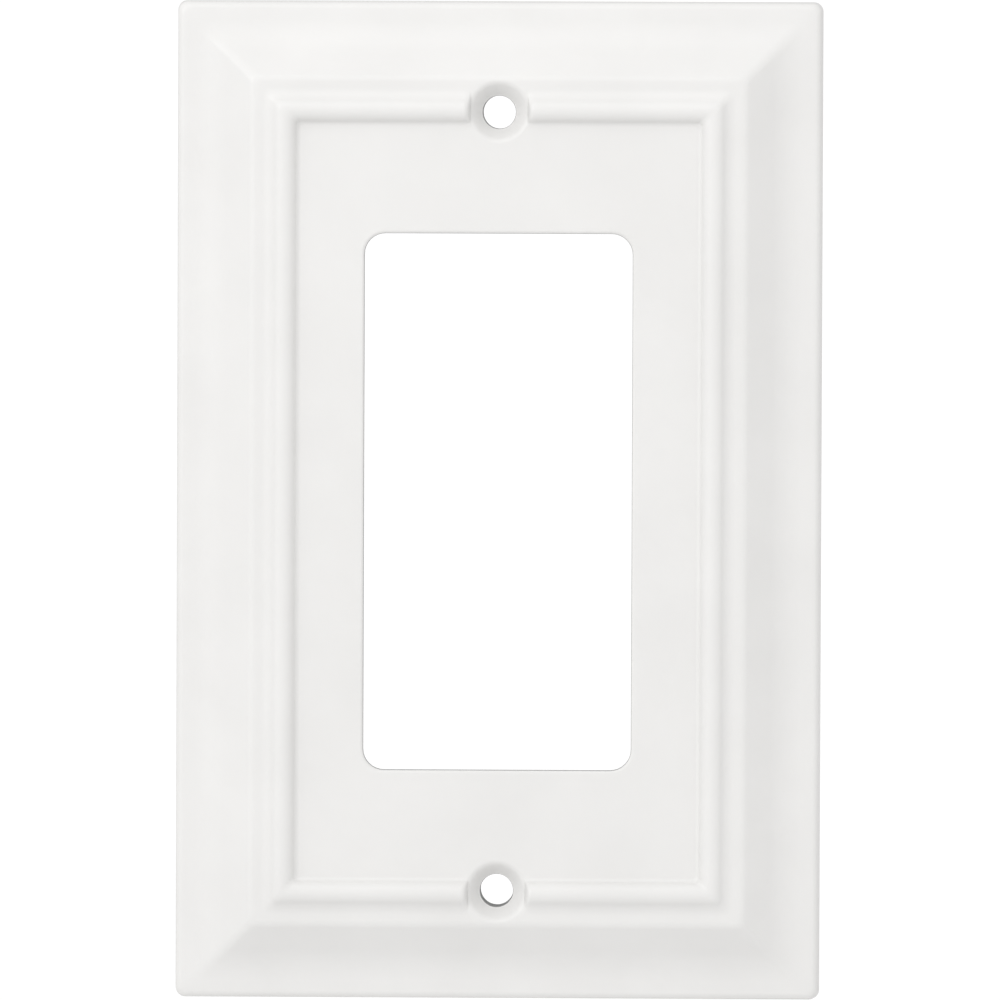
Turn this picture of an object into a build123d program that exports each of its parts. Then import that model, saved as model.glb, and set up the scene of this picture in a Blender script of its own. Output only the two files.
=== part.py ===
"""Single-gang wall plate for a rocker or receptacle device, with its two cover screws.

The plate stands as it does on the wall: +X right, +Z up, and the front faces -Y. The origin is
at the middle of the plate in the wall plane, so the plate lies between Y = 0 and Y = -bead_rise.
"Rise" below is the distance from the wall plane towards the front, and "inset" is the distance
in from the plate's outer edge.
"""

import os
from math import cos, radians, sin, sqrt, tan

from build123d import *

# ---- Plate outline ---------------------------------------------------------------------------
plate_width = 80.5
plate_height = 124.5
corner_radius = 1.2
wall = 1.5

# ---- Moulding, from the outer edge inwards -----------------------------------------------------
side_angle = 87.0  # side wall, with 3 degrees of draft
rim_angle = 5.0  # almost flat rim
slope_angle = 34.5  # steep face above the cove
rim_rise = 4.55
rim_edge_radius = 0.9
cove_inset = 4.53  # where the rim and the steep face would meet without the cove
cove_radius = 8.0
ledge_rise = 8.4
crest_radius = 1.7
bead_inset = 13.5
bead_radius = 1.55
bead_rise = 9.6
bead_foot_radius = 0.8
panel_rise = 8.2
ceiling_rise = ledge_rise - wall  # of the hollow, under the ledge, the bead and the panel
panel_inset = 17.0  # where the moulding's section ends and the flat panel takes over

# ---- Window for the device's face --------------------------------------------------------------
window_width = 33.3
window_height = 66.7
window_corner_radius = 2.6
window_edge_radius = 0.35

# ---- Screw holes -------------------------------------------------------------------------------
screw_spacing = 96.84  # standard distance between a device's two cover screws
screw_hole_radius = 2.05
countersink_half_angle = 41.0
countersink_rim_radius = 3.75
countersink_rim_rise = 8.3
bead_gap_radius = 4.2  # the bead stops this far either side of each hole
boss_radius = 4.6
boss_foot_rise = 1.5  # the boss bears on the device's strap
boss_top_rise = 7.4

# ---- Ribs in the hollow back -------------------------------------------------------------------
rib_thickness = 1.2
rib_foot_rise = 1.2
rib_end_inset = 15.8
clip_rib_height = 3.3  # the two notched ribs stand this far above and below mid-height
side_rib_height = 30.0
end_rib_distance = 14.0  # ribs across the end channels stand this far from the middle

# ---- Cover screws, No. 6-32 x 1/2 in, oval head ------------------------------------------------
thread_radius = 1.753
screw_length = 12.7  # from the rim of the head to the tip
head_radius = 3.2
head_dome = 0.8
head_edge = 0.12
tip_chamfer = 0.5
slot_width = 0.9
slot_depth = 1.0
screw_inset = 12.2  # axis of a stored screw, in from the plate's side
screw_rise = 3.4
screw_head_height = 6.3  # rim of a stored screw's head, above mid-height
notch_radius = 2.1

overshoot = 1.0  # how far a cutting profile runs past the solid that it cuts
half_width = plate_width / 2
half_height = plate_height / 2

os.makedirs("parts", exist_ok=True)


def reach_rise(start, angle, rise):
    """The point where a run that leaves start at this angle reaches this rise."""
    return (start[0] + (rise - start[1]) / tan(radians(angle)), rise)


def move_in(corner, angle_before, angle_after, amount):
    """A corner of the front contour, moved into the wall by this amount."""
    middle = radians((angle_before + angle_after) / 2)
    reach = amount / cos(radians((angle_after - angle_before) / 2))
    return (corner[0] + reach * sin(middle), corner[1] - reach * cos(middle))


# Corners of the front contour, as (inset, rise)
foot = (0, 0)
rim = reach_rise(foot, side_angle, rim_rise)
cove = (cove_inset, rim_rise + (cove_inset - rim[0]) * tan(radians(rim_angle)))
crest = reach_rise(cove, slope_angle, ledge_rise)
bead_centre_rise = bead_rise - bead_radius
outer_foot = (bead_inset - sqrt(bead_radius**2 - (ledge_rise - bead_centre_rise) ** 2), ledge_rise)
inner_foot = (bead_inset + sqrt(bead_radius**2 - (panel_rise - bead_centre_rise) ** 2), panel_rise)


def contour_inside(amount):
    """The rim, cove and crest corners, moved into the wall by this amount."""
    return (
        move_in(rim, side_angle, rim_angle, amount),
        move_in(cove, rim_angle, slope_angle, amount),
        move_in(crest, slope_angle, 0, amount),
    )


def side_plane(side, height):
    """A level plane at this height: x is the inset from the right (1) or left (-1) edge, y the rise."""
    return Plane(origin=(side * half_width, 0, height), x_dir=(-side, 0, 0), z_dir=(0, 0, side))


def end_plane(end, distance):
    """An upright plane at this X: x is the inset from the top (1) or bottom (-1) edge, y the rise."""
    return Plane(origin=(distance, 0, end * half_height), x_dir=(0, 0, -end), z_dir=(-end, 0, 0))


def axial_plane(x, rise, height):
    """An upright plane through this point of the plate: x is sideways, y is height."""
    return Plane(origin=(x, -rise, height), x_dir=(1, 0, 0), z_dir=(0, -1, 0))


rim_mid, cove_mid, crest_mid = contour_inside(wall / 2)
rib_points = (
    (rim_mid[0], rib_foot_rise),
    rim_mid,
    cove_mid,
    crest_mid,
    (rib_end_inset, crest_mid[1]),
    (rib_end_inset, rib_foot_rise),
)

# ---- Cover plate: one casting with a hollow back -----------------------------------------------
rim_back, cove_back, crest_back = contour_inside(wall)
with BuildPart() as cover_plate:
    # The moulded frame, mitred at its four corners
    with BuildLine(Plane.XZ) as edge_line:
        Polyline(
            (0, -half_height),
            (half_width, -half_height),
            (half_width, half_height),
            (-half_width, half_height),
            (-half_width, -half_height),
            (0, -half_height),
        )
    with BuildSketch(end_plane(-1, 0)) as moulding:
        with BuildLine():
            Polyline(foot, rim, cove, crest, outer_foot)
            ThreePointArc(outer_foot, (bead_inset, bead_rise), inner_foot)
            Polyline(
                inner_foot,
                (panel_inset, panel_rise),
                (panel_inset, ceiling_rise),
                crest_back,
                cove_back,
                rim_back,
                reach_rise(rim_back, side_angle, 0),
                foot,
            )
        make_face()
        for corner, radius in (
            (rim, rim_edge_radius),
            (cove, cove_radius),
            (crest, crest_radius),
            (outer_foot, bead_foot_radius),
            (inner_foot, bead_foot_radius),
            (cove_back, cove_radius + wall),
        ):
            fillet(moulding.vertices().sort_by_distance(corner)[0], radius)
    sweep(moulding.sketch, path=edge_line.line, transition=Transition.RIGHT)

    # The flat panel inside the bead
    with BuildSketch(Plane.XZ.offset(ceiling_rise)):
        Rectangle(plate_width - 2 * panel_inset, plate_height - 2 * panel_inset)
    extrude(amount=panel_rise - ceiling_rise)

    # Ribs across the side channels and the end channels
    rib_planes = [
        side_plane(side, height)
        for side in (-1, 1)
        for height in (-side_rib_height, -clip_rib_height, clip_rib_height, side_rib_height)
    ]
    rib_planes += [
        end_plane(end, distance)
        for end in (-1, 1)
        for distance in (-end_rib_distance, end_rib_distance)
    ]
    for rib_plane in rib_planes:
        with BuildSketch(rib_plane):
            with BuildLine():
                Polyline(*rib_points, close=True)
            make_face()
        extrude(amount=rib_thickness / 2, both=True)

    # A notch in each pair of middle ribs, open to the back, for a stored screw
    with BuildSketch(Plane.XY):
        for side in (-1, 1):
            with Locations((side * (half_width - screw_inset), -screw_rise)):
                Circle(notch_radius)
            with Locations((side * (half_width - screw_inset), -screw_rise / 2)):
                Rectangle(2 * notch_radius, screw_rise)
    extrude(amount=clip_rib_height + rib_thickness, both=True, mode=Mode.SUBTRACT)

    # Screw bosses
    with BuildSketch(Plane.XZ.offset(boss_foot_rise)):
        with Locations((0, -screw_spacing / 2), (0, screw_spacing / 2)):
            Circle(boss_radius)
    extrude(amount=boss_top_rise - boss_foot_rise)

    # Window
    with BuildSketch(Plane.XZ):
        RectangleRounded(window_width, window_height, window_corner_radius)
    extrude(amount=bead_rise, mode=Mode.SUBTRACT)
    window_edges = (
        cover_plate.edges()
        .filter_by_position(Axis.Y, -panel_rise, -panel_rise)
        .filter_by_position(Axis.X, -window_width / 2, window_width / 2)
        .filter_by_position(Axis.Z, -window_height / 2, window_height / 2)
    )
    fillet(window_edges, window_edge_radius)

    # Dished screw holes, which also part the bead
    seat_depth = (countersink_rim_radius - screw_hole_radius) / tan(radians(countersink_half_angle))
    for end in (-1, 1):
        hole_plane = axial_plane(0, 0, end * screw_spacing / 2)
        with BuildSketch(Plane(hole_plane.origin, x_dir=(1, 0, 0), z_dir=(0, 0, -1))):
            with BuildLine():
                Polyline(
                    (0, boss_foot_rise - overshoot),
                    (screw_hole_radius, boss_foot_rise - overshoot),
                    (screw_hole_radius, countersink_rim_rise - seat_depth),
                    (countersink_rim_radius, countersink_rim_rise),
                    (bead_gap_radius, bead_rise + overshoot),
                    (0, bead_rise + overshoot),
                    close=True,
                )
            make_face()
        revolve(axis=Axis(hole_plane.origin, (0, -1, 0)), mode=Mode.SUBTRACT)

    # Rounded outer corners
    with BuildSketch(Plane.XZ):
        RectangleRounded(plate_width, plate_height, corner_radius)
    extrude(amount=bead_rise, mode=Mode.INTERSECT)
cover_plate.part.label = "cover_plate"
export_step(cover_plate.part, "parts/cover_plate.step")

# ---- Cover screws, stored in the notched ribs with their heads up ------------------------------
cone_height = (head_radius - thread_radius) / tan(radians(countersink_half_angle))
for side, name in ((-1, "left_screw"), (1, "right_screw")):
    screw_plane = axial_plane(side * (half_width - screw_inset), screw_rise, screw_head_height)
    with BuildPart() as screw:
        with BuildSketch(screw_plane):
            with BuildLine():
                Polyline(
                    (0, head_dome),
                    (0, -screw_length),
                    (thread_radius - tip_chamfer, -screw_length),
                    (thread_radius, tip_chamfer - screw_length),
                    (thread_radius, -head_edge - cone_height),
                    (head_radius, -head_edge),
                    (head_radius, 0),
                )
                RadiusArc(
                    (head_radius, 0),
                    (0, head_dome),
                    (head_radius**2 + head_dome**2) / (2 * head_dome),
                )
            make_face()
        revolve(axis=Axis(screw_plane.origin, (0, 0, 1)))
        # Screwdriver slot
        slot_place = screw_plane.origin + Vector(0, 0, head_dome)
        with BuildSketch(Plane(slot_place)):
            Rectangle(2 * (head_radius + overshoot), slot_width)
        extrude(amount=-slot_depth, mode=Mode.SUBTRACT)
    screw.part.label = name
    export_step(screw.part, f"parts/{name}.step")
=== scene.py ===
"""The looks of a single-gang wall plate: a white painted casting and its two stored cover screws.

Shapes are worked out in millimetres as an inset from the plate's outer edge and a rise from the
wall plane, and become metres when a mesh is made. The plate's size comes from the CAD frame.
"""

from math import asin, atan2, cos, hypot, pi, radians, sin, sqrt, tan

import bmesh
import bpy
import numpy as np
from mathutils import Matrix, Vector


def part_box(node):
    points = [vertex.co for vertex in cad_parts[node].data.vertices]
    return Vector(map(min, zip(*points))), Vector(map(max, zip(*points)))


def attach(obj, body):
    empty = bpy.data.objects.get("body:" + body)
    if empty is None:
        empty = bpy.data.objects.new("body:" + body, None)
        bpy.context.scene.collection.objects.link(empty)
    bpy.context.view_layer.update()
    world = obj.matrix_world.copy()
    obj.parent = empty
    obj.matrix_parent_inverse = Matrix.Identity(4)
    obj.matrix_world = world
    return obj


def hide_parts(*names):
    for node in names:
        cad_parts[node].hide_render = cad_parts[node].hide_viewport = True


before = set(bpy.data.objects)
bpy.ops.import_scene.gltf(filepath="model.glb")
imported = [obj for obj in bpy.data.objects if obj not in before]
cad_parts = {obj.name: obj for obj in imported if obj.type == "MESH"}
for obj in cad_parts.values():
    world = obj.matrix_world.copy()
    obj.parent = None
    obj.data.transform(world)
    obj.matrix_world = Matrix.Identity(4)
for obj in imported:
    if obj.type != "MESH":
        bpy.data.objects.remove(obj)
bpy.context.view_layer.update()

MM = 0.001
PLATE_LOW, PLATE_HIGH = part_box("cover_plate")
HALF_WIDTH = (PLATE_HIGH[0] - PLATE_LOW[0]) / 2 / MM
HALF_HEIGHT = (PLATE_HIGH[2] - PLATE_LOW[2]) / 2 / MM
BEAD_RISE = -PLATE_LOW[1] / MM

# ---- The moulding's section, millimetres and degrees ----------------------------------------
WALL = 1.5
SIDE_ANGLE = 87
RIM_ANGLE = 5
SLOPE_ANGLE = 34.5
RIM_RISE = 4.55
COVE_INSET = 4.53
COVE_RADIUS = 8
LEDGE_RISE = 8.4
BEAD_INSET = 13.55
BEAD_RADIUS = 1.55
OUTER_FOOT_ROUND = 2.0
INNER_FOOT_ROUND = 0.6
PANEL_RISE = 8.2
EDGE_ROUND = 0.12  # the casting's back edges
HOLLOW_ROUND = 0.48  # the hollow's inner corners
RIM_ROUND = 0.9
CREST_ROUND = 1.7
SUPPORT = 0.1  # extra points beside each round keep the flats flat
CORNER_INSETS = (0, 1.2, 5, 9.5, 14, 20)  # how sharply the moulding turns its corners, by inset
CORNER_RADII = (1.2, 1.1, 1.0, 0.9, 0.6, 0.5)

# ---- Window ----------------------------------------------------------------------------------
WINDOW_HALF_WIDTH = 16.65
WINDOW_HALF_HEIGHT = 33.35
WINDOW_RADIUS = 2.6
WINDOW_ROUND = 0.4

# ---- Screw holes -----------------------------------------------------------------------------
HOLE_HEIGHT = 48.42
HOLE_RADIUS = 2.05
HOLE_LIP = 0.15  # the round between the dish and the hole's wall
DISH_ANGLE = 41  # half the angle of the dish's cone and the screws'
DISH_FOOT_RISE = 6.5
DISH_SOFTNESS = 0.45  # how close the dish and the front come before they blend
BEAD_END = 3.55  # the bead's rounded ends start this far from the hole's middle
BEAD_NOSE = 0.9  # length over which they rise to the full bead
BOSS_RADIUS = 4.6
BOSS_FOOT_RISE = 1.5
BOSS_DRAFT = 87
BOSS_SOFTNESS = 1.0  # of the fillet where the boss meets the hollow's ceiling
PATCH = 6  # half the side of the square of finer mesh round each hole
PATCH_MARGIN = 0.4  # the moulding's section runs this far past the square
PATCH_RING = 5  # radius of the outermost circle of that mesh
PATCH_GAP = 0.6  # the square's sides have points at least this close together

# ---- Ribs and stored screws ------------------------------------------------------------------
RIB_HALF_THICKNESS = 0.6
RIB_FOOT_RISE = 1.2
RIB_END_INSET = 15.8
RIB_ROUND = 0.15
CLIP_RIB_HEIGHT = 3.3  # the notched ribs stand this far above and below mid-height
SIDE_RIB_HEIGHT = 30
END_RIB_DISTANCE = 14
NOTCH_RADIUS = 2.1
SCREW_INSET = 12.2
SCREW_RISE = 3.4

# ---- How finely the mesh is divided ----------------------------------------------------------
PATCH_COLUMNS = 60
SIDE_STEPS = 24
END_STEPS = 8
CORNER_STEPS = 8
DISH_STEPS = 36
BOSS_STEPS = 22
BOSS_SPREAD = 0.3  # how far outside the boss its finest circles start
BOSS_FLAT = 0.5  # how far inside the boss's edge its end is flat
PATCH_LAYERS = 4  # between the square's edge and its outermost circle


# ---- Section curves, as (inset, rise) points -------------------------------------------------
def along(start, angle, rise):
    """Where a run that leaves start at this angle reaches this rise."""
    return (start[0] + (rise - start[1]) / tan(radians(angle)), rise)


def move_in(corner, before, after, amount):
    """A corner of the front moved into the wall, where runs at these two angles meet."""
    middle = radians((before + after) / 2)
    reach = amount / cos(radians((after - before) / 2))
    return (corner[0] + reach * sin(middle), corner[1] - reach * cos(middle))


def rounded(before, corner, after, radius, steps):
    """A corner turned with this radius, with a support point on the run at each end."""
    before, corner, after = np.array(before), np.array(corner), np.array(after)
    to_before = (before - corner) / np.linalg.norm(before - corner)
    to_after = (after - corner) / np.linalg.norm(after - corner)
    half = np.arccos(np.clip(to_before @ to_after, -1, 1)) / 2
    middle = to_before + to_after
    centre = corner + middle / np.linalg.norm(middle) * radius / sin(half)
    start = corner + to_before * radius / tan(half)
    end = corner + to_after * radius / tan(half)
    first, last = start - centre, end - centre
    turn = pi - 2 * half
    points = [start + to_before * SUPPORT]
    for t in np.linspace(0, 1, steps + 1):
        points.append(centre + (sin((1 - t) * turn) * first + sin(t * turn) * last) / sin(turn))
    points.append(end + to_after * SUPPORT)
    return points


def bead_foot(side, level, radius, steps):
    """The filled crease between the bead and a flat, on its outer (-1) or inner (1) side."""
    bead = np.array((BEAD_INSET, BEAD_RISE - BEAD_RADIUS))
    lift = level + radius - bead[1]
    centre = bead + (side * sqrt((BEAD_RADIUS + radius) ** 2 - lift**2), lift)
    towards_bead = bead - centre
    first = -pi / 2
    last = atan2(towards_bead[1], towards_bead[0])
    points = [centre + (side * SUPPORT, -radius)]
    for angle in np.linspace(first, last, steps + 1):
        points.append(centre + (radius * cos(angle), radius * sin(angle)))
    return points


def bead_top(start, end, steps):
    """The bead's arc between two points on it, without them."""
    centre = np.array((BEAD_INSET, BEAD_RISE - BEAD_RADIUS))
    first = atan2(start[1] - centre[1], start[0] - centre[0])
    last = atan2(end[1] - centre[1], end[0] - centre[0])
    angles = np.linspace(first, last, steps + 1)[1:-1]
    return [centre + (BEAD_RADIUS * cos(a), BEAD_RADIUS * sin(a)) for a in angles]


FOOT = (0, 0)
RIM = along(FOOT, SIDE_ANGLE, RIM_RISE)
COVE = (COVE_INSET, RIM_RISE + (COVE_INSET - RIM[0]) * tan(radians(RIM_ANGLE)))
CREST = along(COVE, SLOPE_ANGLE, LEDGE_RISE)
RIM_BACK = move_in(RIM, SIDE_ANGLE, RIM_ANGLE, WALL)
COVE_BACK = move_in(COVE, RIM_ANGLE, SLOPE_ANGLE, WALL)
CREST_BACK = move_in(CREST, SLOPE_ANGLE, 0, WALL)
FOOT_BACK = along(RIM_BACK, SIDE_ANGLE, 0)
PANEL_INSET = BEAD_INSET + PATCH + PATCH_MARGIN


def front_section():
    """From the back edge of the side wall, over the moulding, to the flat panel.

    The last number that each curve is given is how many steps it has.
    """
    outer_foot = bead_foot(-1, LEDGE_RISE, OUTER_FOOT_ROUND, 12)
    inner_foot = bead_foot(1, PANEL_RISE, INNER_FOOT_ROUND, 12)[::-1]
    points = rounded((1, 0), FOOT, RIM, EDGE_ROUND, 3)
    points += rounded(FOOT, RIM, COVE, RIM_ROUND, 10)
    points += rounded(RIM, COVE, CREST, COVE_RADIUS, 16)
    points += rounded(COVE, CREST, (BEAD_INSET, LEDGE_RISE), CREST_ROUND, 10)
    points += outer_foot + bead_top(outer_foot[-1], inner_foot[0], 24) + inner_foot
    points.append(np.array((PANEL_INSET, PANEL_RISE)))
    return np.array(points)


def back_section():
    """From the panel's back, through the hollow, to the inner edge of the side wall's foot."""
    ceiling_start = np.array((PANEL_INSET, CREST_BACK[1]))
    points = [ceiling_start]
    points += rounded(ceiling_start, CREST_BACK, COVE_BACK, HOLLOW_ROUND, 4)
    points += rounded(CREST_BACK, COVE_BACK, RIM_BACK, COVE_RADIUS + WALL, 10)
    points += rounded(COVE_BACK, RIM_BACK, FOOT_BACK, HOLLOW_ROUND, 6)
    points += rounded(RIM_BACK, FOOT_BACK, FOOT, EDGE_ROUND, 3)
    return np.array(points)


OUTER_FOOT_INSET = bead_foot(-1, LEDGE_RISE, OUTER_FOOT_ROUND, 1)[1][0]
INNER_FOOT_INSET = bead_foot(1, PANEL_RISE, INNER_FOOT_ROUND, 1)[1][0]
FRONT = front_section()
BACK = back_section()
FRONT_RISES = FRONT[FRONT[:, 0].argsort(kind="stable")]
BACK_RISES = BACK[BACK[:, 0].argsort(kind="stable")]


# ---- Rings round the plate: every ring has the same number of points, so rings join as quads --
def ring(half_width, half_height, radius):
    """Points clockwise round a rounded rectangle, from the left end of its top side."""
    end_x, end_z = half_width - radius, half_height - radius
    across = np.concatenate((
        np.linspace(-end_x, -PATCH, END_STEPS, endpoint=False),
        np.linspace(-PATCH, PATCH, PATCH_COLUMNS, endpoint=False),
        np.linspace(PATCH, end_x, END_STEPS, endpoint=False),
    ))
    down = np.linspace(end_z, -end_z, SIDE_STEPS, endpoint=False)
    quarter = np.linspace(0, pi / 2, CORNER_STEPS, endpoint=False)
    turn = np.stack((np.sin(quarter), np.cos(quarter)), axis=1) * radius
    top = np.stack((across, np.full_like(across, half_height)), axis=1)
    right = np.stack((np.full_like(down, half_width), down), axis=1)
    top_right = turn + (end_x, end_z)
    bottom_right = np.stack((turn[:, 1], -turn[:, 0]), axis=1) + (end_x, -end_z)
    half = np.concatenate((top, top_right, right, bottom_right))
    return np.concatenate((half, -half))


RING_POINTS = len(ring(HALF_WIDTH, HALF_HEIGHT, CORNER_RADII[0]))
TOP_START = END_STEPS
BOTTOM_START = RING_POINTS // 2 + END_STEPS


def inset_ring(inset, rise):
    radius = float(np.interp(inset, CORNER_INSETS, CORNER_RADII))
    return lifted(ring(HALF_WIDTH - inset, HALF_HEIGHT - inset, radius), rise)


def window_ring(offset, rise):
    """A ring this far outside the window's edge."""
    return lifted(
        ring(WINDOW_HALF_WIDTH + offset, WINDOW_HALF_HEIGHT + offset, WINDOW_RADIUS + offset), rise
    )


def lifted(points, rise):
    """Points (x, z) at this rise, or each at its own, as (x, y, z)."""
    return np.stack((points[:, 0], np.broadcast_to(-rise, len(points)), points[:, 1]), axis=1)


def front_rise(inset):
    return np.interp(inset, FRONT_RISES[:, 0], FRONT_RISES[:, 1])


def back_rise(inset):
    return np.interp(inset, BACK_RISES[:, 0], BACK_RISES[:, 1])


# ---- The surface near a screw hole -----------------------------------------------------------
def soft_min(a, b, width):
    """The lower of two surfaces, blended where they are closer than this width."""
    near = np.maximum(width - np.abs(a - b), 0) / width
    return np.minimum(a, b) - near**2 * width / 4


def dished_rise(x, inset, radius):
    """The front near a hole: the bead stops in rounded noses and the hole is dished."""
    outer, inner = OUTER_FOOT_INSET, INNER_FOOT_INSET
    across = np.clip((inset - outer) / (inner - outer), 0, 1)
    step = LEDGE_RISE + (PANEL_RISE - LEDGE_RISE) * across**2 * (3 - 2 * across)
    moulding = front_rise(inset)
    no_bead = np.where(inset < outer, moulding, step)
    nose = np.clip((np.abs(x) - BEAD_END) / BEAD_NOSE, 0, 1)
    share = np.sqrt(1 - (1 - nose) ** 2)
    dish = DISH_FOOT_RISE + (radius - HOLE_RADIUS) / tan(radians(DISH_ANGLE))
    return soft_min(no_bead, dish, DISH_SOFTNESS) + (moulding - no_bead) * share


def bossed_rise(inset, radius):
    """The back near a hole: a tapered boss stands down from the hollow's ceiling."""
    side = BOSS_FOOT_RISE + (radius - BOSS_RADIUS) * tan(radians(BOSS_DRAFT))
    side = -soft_min(-side, np.full_like(side, -BOSS_FOOT_RISE), 2 * EDGE_ROUND)
    return soft_min(back_rise(inset), side, BOSS_SOFTNESS)


# Circles of the mesh round a hole, from the outermost to the start of the hole's lip
LIP_START = HOLE_RADIUS + HOLE_LIP
LIP_SUPPORT = HOLE_RADIUS + 2 * HOLE_LIP
FRONT_RADII = np.concatenate((
    np.linspace(PATCH_RING, LIP_SUPPORT, DISH_STEPS),
    np.linspace(LIP_SUPPORT, LIP_START, 3)[1:],
))
BACK_RADII = np.concatenate((
    (PATCH_RING,),
    np.linspace(BOSS_RADIUS + BOSS_SPREAD, BOSS_RADIUS - EDGE_ROUND, BOSS_STEPS),
    (BOSS_RADIUS - BOSS_FLAT, LIP_SUPPORT, LIP_START),
))


def patch_circle(edge):
    """For each point of the square's edge, its place on the circle inside it.

    Points on the left and right sides keep their height where the bead crosses them.
    """
    straight = 3.2  # points closer to the hole's level than this keep their height
    split = radians(60)  # up to this angle above and below that level a point is on a side
    side_reach, top_reach = PATCH_RING * sin(split), PATCH_RING * cos(split)
    places = []
    for x, z in edge:
        if abs(abs(x) - PATCH) < 1e-6:
            height = np.interp(abs(z), (0, straight, PATCH), (0, straight, side_reach)) * np.sign(z)
            height = float(np.clip(height, -side_reach, side_reach))
            places.append((np.sign(x) * sqrt(PATCH_RING**2 - height**2), height))
        else:
            sideways = x / PATCH * top_reach
            places.append((sideways, np.sign(z) * sqrt(PATCH_RING**2 - sideways**2)))
    return np.array(places)


def filled(values, gap):
    """Rising values, with more put in evenly wherever two are further apart than this."""
    whole = [values[:1]]
    for low, high in zip(values, values[1:]):
        whole.append(np.linspace(low, high, int(np.ceil((high - low) / gap)) + 1)[1:])
    return np.concatenate(whole)


class Builder:
    """Collects the plate's vertices and faces, in millimetres."""

    def __init__(self):
        self.points = []
        self.faces = []
        self.count = 0

    def add(self, points):
        first = self.count
        self.points.append(points)
        self.count += len(points)
        return np.arange(first, self.count)

    def join(self, a, b, skip=()):
        """Quads between two closed rows of vertices with the same number of points."""
        for i in range(len(a)):
            if i not in skip:
                j = (i + 1) % len(a)
                self.faces.append((a[i], a[j], b[j], b[i]))


def hole_patch(plate, end, edge_rows, front):
    """Fills the square round a hole, from its edge to the hole's lip.

    Returns the lip's row of vertices and the direction of each from the hole's middle.
    """
    row = np.concatenate(edge_rows)
    centre = end * HOLE_HEIGHT
    local = np.concatenate(plate.points)[row][:, (0, 2)] - (0, centre)
    circle = patch_circle(local)
    directions = circle / PATCH_RING
    shares = np.linspace(0, 1, PATCH_LAYERS + 2)[1:-1]
    layers = [local + (circle - local) * share for share in shares]
    layers += [directions * radius for radius in (FRONT_RADII if front else BACK_RADII)]
    for layer in layers:
        radius = np.hypot(layer[:, 0], layer[:, 1])
        inset = HALF_HEIGHT - np.abs(layer[:, 1] + centre)
        rise = dished_rise(layer[:, 0], inset, radius) if front else bossed_rise(inset, radius)
        fresh = plate.add(lifted(layer + (0, centre), rise))
        plate.join(row, fresh)
        row = fresh
    return row, directions


def hole_wall(plate, end, row, directions):
    """A hole's lip, its wall and its rounded end in the boss. Returns the last row."""
    lip_rise = DISH_FOOT_RISE + HOLE_LIP / tan(radians(DISH_ANGLE))
    levels = [
        (HOLE_RADIUS + HOLE_LIP * (1 - sin(a)), lip_rise - 2 * HOLE_LIP * (1 - cos(a)))
        for a in np.linspace(0, pi / 2, 5)[1:]
    ]
    levels += [
        (HOLE_RADIUS + EDGE_ROUND * (1 - cos(a)), BOSS_FOOT_RISE + EDGE_ROUND * (1 - sin(a)))
        for a in np.linspace(0, pi / 2, 4)
    ]
    for radius, rise in levels:
        fresh = plate.add(lifted(directions * radius + (0, end * HOLE_HEIGHT), rise))
        plate.join(row, fresh)
        row = fresh
    return row


def square_edge(rings, first, last, start):
    """The rows of vertices round a hole's square, between two rings, in ring order."""
    columns = range(start, start + PATCH_COLUMNS + 1)
    outer = [rings[first][c] for c in columns]
    side = [rings[i][columns[-1]] for i in range(first + 1, last)]
    inner = [rings[last][c] for c in reversed(columns)]
    back = [rings[i][columns[0]] for i in range(last - 1, first, -1)]
    return outer, side, inner, back


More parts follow.
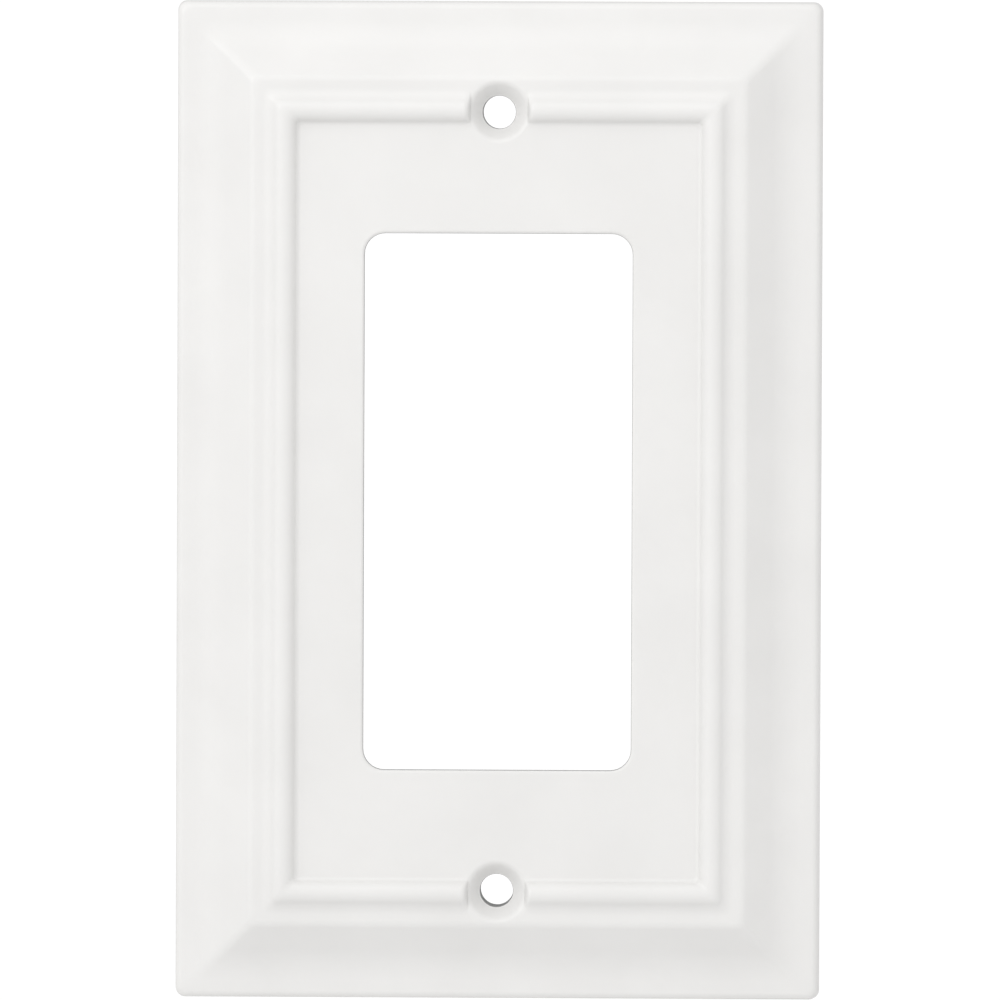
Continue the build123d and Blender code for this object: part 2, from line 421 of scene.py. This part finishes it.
def build_plate():
    """The casting without its ribs, as one closed skin."""
    plate = Builder()
    hole_inset = HALF_HEIGHT - HOLE_HEIGHT
    patch_low, patch_high = hole_inset - PATCH, hole_inset + PATCH
    front = FRONT[(FRONT[:, 0] < patch_low) | (FRONT[:, 0] > patch_high)]
    crossing = FRONT[(FRONT[:, 0] > patch_low + SUPPORT) & (FRONT[:, 0] < patch_high - SUPPORT)]
    insets = filled(np.concatenate(((patch_low,), crossing[:, 0], (patch_high,))), PATCH_GAP)
    split = int((front[:, 0] < patch_low).sum())
    front_rings = [inset_ring(*point) for point in front[:split]]
    front_square = [inset_ring(i, front_rise(i)) for i in insets]
    panel_rings = [inset_ring(*point) for point in front[split:]]
    quarter = np.linspace(0, pi / 2, 7)
    window_front = [window_ring(WINDOW_ROUND + SUPPORT, PANEL_RISE)]
    window_front += [
        window_ring(WINDOW_ROUND * (1 - sin(a)), PANEL_RISE - WINDOW_ROUND * (1 - cos(a)))
        for a in quarter
    ]
    ceiling = CREST_BACK[1]
    window_back = [
        window_ring(EDGE_ROUND * (1 - cos(a)), ceiling + EDGE_ROUND * (1 - sin(a)))
        for a in quarter[::2]
    ]
    window_back.append(window_ring(EDGE_ROUND + SUPPORT, ceiling))
    panel_back = [inset_ring(PANEL_INSET, ceiling)]
    back_square = [inset_ring(i, back_rise(i)) for i in insets[::-1]]
    back_rings = [inset_ring(*point) for point in BACK[BACK[:, 0] < patch_low]]

    order = front_rings + front_square + panel_rings + window_front
    order += window_back + panel_back + back_square + back_rings
    rows = [plate.add(points) for points in order]
    front_first = len(front_rings)
    front_last = front_first + len(insets) - 1
    back_first = len(order) - len(back_rings) - len(insets)
    back_last = back_first + len(insets) - 1
    hole_columns = {
        c for start in (TOP_START, BOTTOM_START) for c in range(start, start + PATCH_COLUMNS)
    }
    for i in range(len(rows)):
        in_square = front_first <= i < front_last or back_first <= i < back_last
        plate.join(rows[i], rows[(i + 1) % len(rows)], hole_columns if in_square else ())

    for end, start in ((1, TOP_START), (-1, BOTTOM_START)):
        front_edge = square_edge(rows, front_first, front_last, start)
        row, directions = hole_patch(plate, end, front_edge, front=True)
        back_rows = rows[back_first:back_last + 1][::-1]
        back_edge = square_edge(back_rows, 0, len(insets) - 1, start)
        back_row, _ = hole_patch(plate, end, back_edge, front=False)
        plate.join(hole_wall(plate, end, row, directions), back_row)
    return plate


def rib_outline(notched):
    """A rib's outline as (inset, rise) points, with or without a notch for a screw."""
    middles = (
        move_in(RIM, SIDE_ANGLE, RIM_ANGLE, WALL / 2),
        move_in(COVE, RIM_ANGLE, SLOPE_ANGLE, WALL / 2),
        move_in(CREST, SLOPE_ANGLE, 0, WALL / 2),
    )
    points = [(middles[0][0], RIB_FOOT_RISE), *middles]
    points.append((RIB_END_INSET, middles[2][1]))
    points.append((RIB_END_INSET, RIB_FOOT_RISE))
    if notched:
        points.append((SCREW_INSET + NOTCH_RADIUS, RIB_FOOT_RISE))
        for a in np.linspace(0, pi, 15):
            points.append((SCREW_INSET + NOTCH_RADIUS * cos(a), SCREW_RISE + NOTCH_RADIUS * sin(a)))
        points.append((SCREW_INSET - NOTCH_RADIUS, RIB_FOOT_RISE))
    return points


def add_rib(bm, outline, place):
    """One rib, with rounded edges; place turns (inset, rise, offset) into a point."""
    near, far = (
        [bm.verts.new(place(inset, rise, offset)) for inset, rise in outline]
        for offset in (-RIB_HALF_THICKNESS, RIB_HALF_THICKNESS)
    )
    made = [bm.faces.new(near), bm.faces.new(far[::-1])]
    for i in range(len(near)):
        j = (i + 1) % len(near)
        made.append(bm.faces.new((near[i], far[i], far[j], near[j])))
    edges = list(made[0].edges) + list(made[1].edges)
    bmesh.ops.bevel(bm, geom=edges, offset=RIB_ROUND, segments=3, profile=0.5, affect="EDGES")


def side_place(side, height):
    return lambda inset, rise, offset: (side * (HALF_WIDTH - inset), -rise, height + offset)


def end_place(end, distance):
    return lambda inset, rise, offset: (distance + offset, -rise, end * (HALF_HEIGHT - inset))


def object_from(bm, name, materials):
    """A mesh object in metres from a bmesh in millimetres, with outward normals."""
    bmesh.ops.recalc_face_normals(bm, faces=bm.faces)
    bmesh.ops.scale(bm, vec=(MM, MM, MM), verts=bm.verts)
    mesh = bpy.data.meshes.new(name)
    bm.to_mesh(mesh)
    bm.free()
    for material in materials:
        mesh.materials.append(material)
    mesh.polygons.foreach_set("use_smooth", [True] * len(mesh.polygons))
    piece = bpy.data.objects.new(name, mesh)
    bpy.context.scene.collection.objects.link(piece)
    return piece


# The third slot carries painted shade for the walls of the window and the screw holes.
FRONT_PAINT, BACK_PAINT, WALL_PAINTED_SHADE = range(3)  # the plate's material slots
STEEP = 0.5  # walls of openings have normals that lean towards Y less than this
LEVEL = 0.02  # surfaces of the back have normals that lean towards +Y more than this


def paint_on(polygon):
    """The material slot of one of the plate's faces."""
    # Faces of the openings' walls get the slot with the painted shade.
    if in_opening(polygon):
        return WALL_PAINTED_SHADE
    return BACK_PAINT if polygon.normal.y > LEVEL else FRONT_PAINT


def in_opening(polygon):
    """Whether a face is part of the wall of the window or of a screw hole."""
    x, z = abs(polygon.center.x) / MM, abs(polygon.center.z) / MM
    in_hole = hypot(x, z - HOLE_HEIGHT) < HOLE_RADIUS + HOLE_LIP
    in_window = x < WINDOW_HALF_WIDTH + WINDOW_ROUND and z < WINDOW_HALF_HEIGHT + WINDOW_ROUND
    return (in_hole or in_window) and abs(polygon.normal.y) < STEEP


def make_plate(front_paint, back_paint, wall_painted_shade):
    plate = build_plate()
    bm = bmesh.new()
    verts = [bm.verts.new(point) for point in np.concatenate(plate.points)]
    for corners in plate.faces:
        bm.faces.new([verts[c] for c in corners])
    for side in (-1, 1):
        for height in (-SIDE_RIB_HEIGHT, SIDE_RIB_HEIGHT):
            add_rib(bm, rib_outline(False), side_place(side, height))
        for height in (-CLIP_RIB_HEIGHT, CLIP_RIB_HEIGHT):
            add_rib(bm, rib_outline(True), side_place(side, height))
    for end in (-1, 1):
        for distance in (-END_RIB_DISTANCE, END_RIB_DISTANCE):
            add_rib(bm, rib_outline(False), end_place(end, distance))
    bm.normal_update()
    # The third material paints shade onto the walls of the window and the screw holes.
    piece = object_from(bm, "moulded_plate", (front_paint, back_paint, wall_painted_shade))
    for polygon in piece.data.polygons:
        polygon.material_index = paint_on(polygon)
    piece.data.set_sharp_from_angle(angle=radians(50))
    return piece


# ---- Cover screws ----------------------------------------------------------------------------
SCREW_HEAD_HEIGHT = 6.3
SCREW_LENGTH = 12.7
HEAD_RADIUS = 3.2
HEAD_DOME = 0.8
HEAD_EDGE = 0.12
SLOT_HALF_WIDTH = 0.45
SLOT_DEPTH = 1.0
THREAD_RADIUS = 1.75
THREAD_DEPTH = 0.42
THREAD_PITCH = 0.794  # 32 threads to the inch
THREAD_STEPS = 10  # to each turn of the thread
SCREW_COLUMNS = 48
POINT_LENGTH = 0.6  # the tip, where the thread fades out
POINT_TAPER = 0.15
NECK_STEP = 0.1  # the plain neck between the thread and the head's cone
HEAD_SUPPORT = 0.04  # extra rows this close keep the head's edges crisp


def thread_radius(height, angle):
    """The thread's radius at a height above the tip and an angle round the axis."""
    phase = (height / THREAD_PITCH - angle / (2 * pi)) % 1
    wave = 1 - abs(2 * phase - 1)
    ridge = min(max(1.5 * wave - 0.25, 0), 1)  # flat at the crest and at the root
    point = min(height / POINT_LENGTH, 1)
    depth = THREAD_DEPTH * (1 - ridge * point)
    return THREAD_RADIUS - depth - (1 - point) * POINT_TAPER


def make_screw(name, side, zinc, enamel):
    cone_height = (HEAD_RADIUS - THREAD_RADIUS) / tan(radians(DISH_ANGLE))
    thread_length = SCREW_LENGTH - HEAD_EDGE - cone_height
    angles = [2 * pi * c / SCREW_COLUMNS for c in range(SCREW_COLUMNS)]
    rows = []
    steps = int(thread_length / THREAD_PITCH * THREAD_STEPS)
    for i in range(steps + 1):
        height = thread_length * i / steps
        rows.append([(thread_radius(height, a), height) for a in angles])
    neck = thread_length + HEAD_SUPPORT
    for radius, height in (
        (THREAD_RADIUS, neck),
        (THREAD_RADIUS + NECK_STEP, neck + NECK_STEP),
        (HEAD_RADIUS - 1.5 * HEAD_SUPPORT, SCREW_LENGTH - HEAD_EDGE - HEAD_SUPPORT),
        (HEAD_RADIUS, SCREW_LENGTH - HEAD_EDGE),
        (HEAD_RADIUS, SCREW_LENGTH - HEAD_SUPPORT / 2),
    ):
        rows.append([(radius, height)] * SCREW_COLUMNS)
    dome_radius = (HEAD_RADIUS**2 + HEAD_DOME**2) / (2 * HEAD_DOME)
    dome_angle = asin(HEAD_RADIUS / dome_radius)
    for t in np.linspace(0.97, 0.04, 9):
        radius = dome_radius * sin(dome_angle * t)
        height = SCREW_LENGTH + dome_radius * (cos(dome_angle * t) - cos(dome_angle))
        rows.append([(radius, height)] * SCREW_COLUMNS)

    x, foot_z = side * (HALF_WIDTH - SCREW_INSET), SCREW_HEAD_HEIGHT - SCREW_LENGTH
    bm = bmesh.new()
    grid = [
        [
            bm.verts.new((x + r * cos(a), r * sin(a) - SCREW_RISE, foot_z + z))
            for (r, z), a in zip(row, angles)
        ]
        for row in rows
    ]
    for low, high in zip(grid, grid[1:]):
        for c in range(SCREW_COLUMNS):
            d = (c + 1) % SCREW_COLUMNS
            bm.faces.new((low[c], low[d], high[d], high[c]))
    bm.faces.new(grid[0][::-1])
    bm.faces.new(grid[-1])
    piece = object_from(bm, name, (zinc, enamel))
    cut_slot(piece, x)
    head_foot = (SCREW_HEAD_HEIGHT - HEAD_EDGE - cone_height) * MM
    for polygon in piece.data.polygons:
        polygon.material_index = int(polygon.center.z > head_foot)
    piece.data.polygons.foreach_set("use_smooth", [True] * len(piece.data.polygons))
    piece.data.set_sharp_from_angle(angle=radians(35))
    return piece


def cut_slot(piece, x):
    """Cuts the screwdriver slot across the head of the screw that stands at this x."""
    cutter_mesh = bpy.data.meshes.new("slot_cutter")
    cutter = bpy.data.objects.new("slot_cutter", cutter_mesh)
    bpy.context.scene.collection.objects.link(cutter)
    slot = bmesh.new()
    bmesh.ops.create_cube(slot, size=2)
    half_size = Vector((HEAD_RADIUS + 1, SLOT_HALF_WIDTH, SLOT_DEPTH))
    head_top = Vector((x, -SCREW_RISE, SCREW_HEAD_HEIGHT + HEAD_DOME))
    bmesh.ops.scale(slot, vec=half_size * MM, verts=slot.verts)
    bmesh.ops.translate(slot, vec=head_top * MM, verts=slot.verts)
    slot.to_mesh(cutter_mesh)
    slot.free()
    cut = piece.modifiers.new("slot", "BOOLEAN")
    cut.operation, cut.solver, cut.object = "DIFFERENCE", "EXACT", cutter
    evaluated = piece.evaluated_get(bpy.context.evaluated_depsgraph_get())
    finished = bpy.data.meshes.new_from_object(evaluated)
    piece.modifiers.clear()
    piece.data = finished
    bpy.data.objects.remove(cutter)


# ---- Materials -------------------------------------------------------------------------------
class Nodes:
    """A material's node tree, with short calls for the nodes used here."""

    def __init__(self, name):
        self.material = bpy.data.materials.new(name)
        self.material.use_nodes = True
        self.tree = self.material.node_tree
        self.shader = self.tree.nodes["Principled BSDF"]
        self.place = self.add("ShaderNodeTexCoord").outputs["Object"]

    def add(self, kind, **settings):
        node = self.tree.nodes.new(kind)
        for key, value in settings.items():
            setattr(node, key, value)
        return node

    def link(self, source, target):
        self.tree.links.new(source, target)

    def noise(self, scale, detail=2.0, roughness=0.5):
        node = self.add("ShaderNodeTexNoise")
        node.inputs["Scale"].default_value = scale
        node.inputs["Detail"].default_value = detail
        node.inputs["Roughness"].default_value = roughness
        self.link(self.place, node.inputs["Vector"])
        return node.outputs["Fac"]

    def spread(self, source, low, high):
        """Maps a noise's middle range to low..high."""
        node = self.add("ShaderNodeMapRange")
        for key, value in (("From Min", 0.3), ("From Max", 0.7), ("To Min", low), ("To Max", high)):
            node.inputs[key].default_value = value
        self.link(source, node.inputs["Value"])
        return node.outputs["Result"]

    def tint(self, source, dark, light):
        node = self.add("ShaderNodeMix", data_type="RGBA")
        node.inputs["A"].default_value = (*dark, 1)
        node.inputs["B"].default_value = (*light, 1)
        self.link(source, node.inputs["Factor"])
        self.link(node.outputs["Result"], self.shader.inputs["Base Color"])

    def bump(self, layers):
        """Stacks bumps, each a height source, its depth in metres and its strength."""
        normal = None
        for height, distance, strength in layers:
            node = self.add("ShaderNodeBump")
            node.inputs["Distance"].default_value = distance
            node.inputs["Strength"].default_value = strength
            self.link(height, node.inputs["Height"])
            if normal is not None:
                self.link(normal, node.inputs["Normal"])
            normal = node.outputs["Normal"]
        self.link(normal, self.shader.inputs["Normal"])


def satin_paint():
    """Thick white satin enamel: faint orange peel, barely uneven in colour and gloss."""
    nodes = Nodes("satin_white_paint")
    nodes.tint(nodes.spread(nodes.noise(90, 3), 0, 1), (0.749, 0.742, 0.73), (0.774, 0.767, 0.755))
    nodes.link(nodes.spread(nodes.noise(260, 3), 0.36, 0.44), nodes.shader.inputs["Roughness"])
    nodes.bump((
        (nodes.noise(520, 2, 0.45), 0.00002, 0.25),
        (nodes.noise(2600, 2, 0.5), 0.000004, 0.2),
    ))
    nodes.shader.inputs["IOR"].default_value = 1.47
    return nodes.material


def thin_paint():
    """The same paint where it only dusts the back: flatter, over the casting's fine grain."""
    nodes = Nodes("thin_white_paint")
    nodes.tint(nodes.spread(nodes.noise(140, 4), 0, 1), (0.70, 0.70, 0.69), (0.77, 0.77, 0.76))
    nodes.link(nodes.spread(nodes.noise(420, 3), 0.55, 0.72), nodes.shader.inputs["Roughness"])
    nodes.bump((
        (nodes.noise(900, 3, 0.6), 0.00004, 0.4),
        (nodes.noise(4200, 2, 0.6), 0.00001, 0.4),
    ))
    nodes.shader.inputs["IOR"].default_value = 1.47
    return nodes.material


def opening_painted_shade():
    """Painted shade: a dark grey on the walls of the window and the screw holes, where they would
    lie in shade.
    """
    nodes = Nodes("opening_painted_shade_grey")
    # This dark grey is painted shade, not a colour that the walls' paint has.
    nodes.tint(nodes.spread(nodes.noise(700, 3), 0, 1), (0.33, 0.33, 0.325), (0.40, 0.40, 0.395))
    nodes.link(nodes.spread(nodes.noise(900, 3), 0.55, 0.7), nodes.shader.inputs["Roughness"])
    nodes.bump(((nodes.noise(2600, 2, 0.6), 0.00001, 0.4),))
    return nodes.material


def zinc_plating():
    """Bright zinc on the screw's shank, with faint tarnish."""
    nodes = Nodes("zinc_plating")
    nodes.tint(nodes.spread(nodes.noise(900, 4), 0, 1), (0.56, 0.57, 0.56), (0.72, 0.73, 0.76))
    nodes.link(nodes.spread(nodes.noise(2400, 3), 0.24, 0.42), nodes.shader.inputs["Roughness"])
    nodes.bump(((nodes.noise(6000, 2, 0.5), 0.000006, 0.4),))
    nodes.shader.inputs["Metallic"].default_value = 1
    return nodes.material


def head_enamel():
    """Glossy white enamel on the screw's head."""
    nodes = Nodes("head_enamel")
    nodes.tint(nodes.spread(nodes.noise(600, 3), 0, 1), (0.77, 0.77, 0.76), (0.81, 0.81, 0.80))
    nodes.link(nodes.spread(nodes.noise(900, 2), 0.22, 0.32), nodes.shader.inputs["Roughness"])
    nodes.bump(((nodes.noise(1800, 2, 0.5), 0.000012, 0.3),))
    nodes.shader.inputs["IOR"].default_value = 1.5
    return nodes.material


def floor_material():
    nodes = Nodes("pale_floor")
    nodes.tint(nodes.spread(nodes.noise(6, 3), 0, 1), (0.88, 0.88, 0.88), (0.90, 0.90, 0.90))
    nodes.shader.inputs["Roughness"].default_value = 0.8
    return nodes.material


# ---- Camera, light and floor -----------------------------------------------------------------
FRAME_HEIGHT = 0.12424  # metres; the plate nearly fills the picture from top to bottom
CAMERA_DISTANCE = 1.6
CAMERA_AZIMUTH = 1.1
CAMERA_ELEVATION = 2.0
CAMERA_ROLL = 0.215
CAMERA_ASIDE = 0.28  # millimetres; the plate stands a little left of the picture's middle
CAMERA_ABOVE = 0.265  # and a little below it
SENSOR = 36  # millimetres


def make_camera():
    data = bpy.data.cameras.new("camera")
    data.sensor_width = SENSOR
    data.lens = SENSOR * CAMERA_DISTANCE / FRAME_HEIGHT
    camera = bpy.data.objects.new("camera", data)
    bpy.context.scene.collection.objects.link(camera)
    azimuth, elevation = radians(CAMERA_AZIMUTH), radians(CAMERA_ELEVATION)
    back = Vector((sin(azimuth) * cos(elevation), -cos(azimuth) * cos(elevation), sin(elevation)))
    target = Vector((CAMERA_ASIDE, -PANEL_RISE, CAMERA_ABOVE)) * MM
    roll = Matrix.Rotation(radians(CAMERA_ROLL), 3, "Z").to_quaternion()
    turn = (-back).to_track_quat("-Z", "Y") @ roll
    camera.location = target + back * CAMERA_DISTANCE
    camera.rotation_mode = "QUATERNION"
    camera.rotation_quaternion = turn
    data.clip_start, data.clip_end = 0.05, 20
    bpy.context.scene.camera = camera


FLOOR_HALF_SIZE = 3.0
FLOOR_DROP = 0.24  # the plate hangs this far above the floor, as on a wall


def make_floor():
    bm = bmesh.new()
    bmesh.ops.create_grid(bm, x_segments=4, y_segments=4, size=FLOOR_HALF_SIZE)
    bmesh.ops.translate(bm, vec=(0, 0, PLATE_LOW[2] - FLOOR_DROP), verts=bm.verts)
    mesh = bpy.data.meshes.new("floor")
    bm.to_mesh(mesh)
    bm.free()
    mesh.materials.append(floor_material())
    floor = bpy.data.objects.new("floor", mesh)
    bpy.context.scene.collection.objects.link(floor)


WORLD_STRENGTH = 0.89
WORLD_LEAN = 0.17  # the studio is brighter in front of the plate than behind it
BACKDROP_STRENGTH = 1.05  # as the camera sees it


def make_world():
    """A pale studio all round that the camera sees as plain white."""
    world = bpy.data.worlds.new("studio")
    bpy.context.scene.world = world
    world.use_nodes = True
    tree = world.node_tree
    background = tree.nodes["Background"]
    background.inputs["Color"].default_value = (1, 1, 1, 1)
    direction = tree.nodes.new("ShaderNodeTexCoord").outputs["Generated"]
    lean = tree.nodes.new("ShaderNodeVectorMath")
    lean.operation = "DOT_PRODUCT"
    lean.inputs[1].default_value = (0, -WORLD_LEAN, 0)
    level = tree.nodes.new("ShaderNodeMath")
    level.inputs[1].default_value = WORLD_STRENGTH
    seen = tree.nodes.new("ShaderNodeMath")
    seen.operation = "MAXIMUM"
    tree.links.new(direction, lean.inputs[0])
    tree.links.new(lean.outputs["Value"], level.inputs[0])
    tree.links.new(level.outputs["Value"], seen.inputs[0])
    camera_ray = tree.nodes.new("ShaderNodeLightPath").outputs["Is Camera Ray"]
    white = tree.nodes.new("ShaderNodeMath")
    white.operation = "MULTIPLY"
    white.inputs[1].default_value = BACKDROP_STRENGTH
    tree.links.new(camera_ray, white.inputs[0])
    tree.links.new(white.outputs["Value"], seen.inputs[1])
    tree.links.new(seen.outputs["Value"], background.inputs["Strength"])


def make_softbox(name, direction, distance, size, power):
    """A square lamp in this direction from the plate, facing it."""
    data = bpy.data.lights.new(name, "AREA")
    data.shape = "SQUARE"
    data.size = size
    data.energy = power
    lamp = bpy.data.objects.new(name, data)
    towards_lamp = Vector(direction).normalized()
    lamp.location = towards_lamp * distance
    lamp.rotation_mode = "QUATERNION"
    lamp.rotation_quaternion = towards_lamp.to_track_quat("Z", "Y")
    lamp.visible_camera = False
    bpy.context.scene.collection.objects.link(lamp)


# ---- The scene -------------------------------------------------------------------------------
# The third material is painted shade on the walls of the window and the screw holes.
plate = make_plate(satin_paint(), thin_paint(), opening_painted_shade())
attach(plate, "plate")
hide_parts("cover_plate")

zinc, enamel = zinc_plating(), head_enamel()
for side, node in ((-1, "left_screw"), (1, "right_screw")):
    screw = make_screw(f"{node}_threaded", side, zinc, enamel)
    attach(screw, node)
    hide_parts(node)

make_camera()
make_floor()
make_world()
make_softbox("key", (-0.60, -0.72, 0.32), 2.5, 0.8, 9.6)
make_softbox("top", (-0.15, -0.68, 0.72), 0.35, 0.2, 0.12)

scene = bpy.context.scene
scene.view_settings.view_transform = "Standard"
scene.view_settings.look = "None"
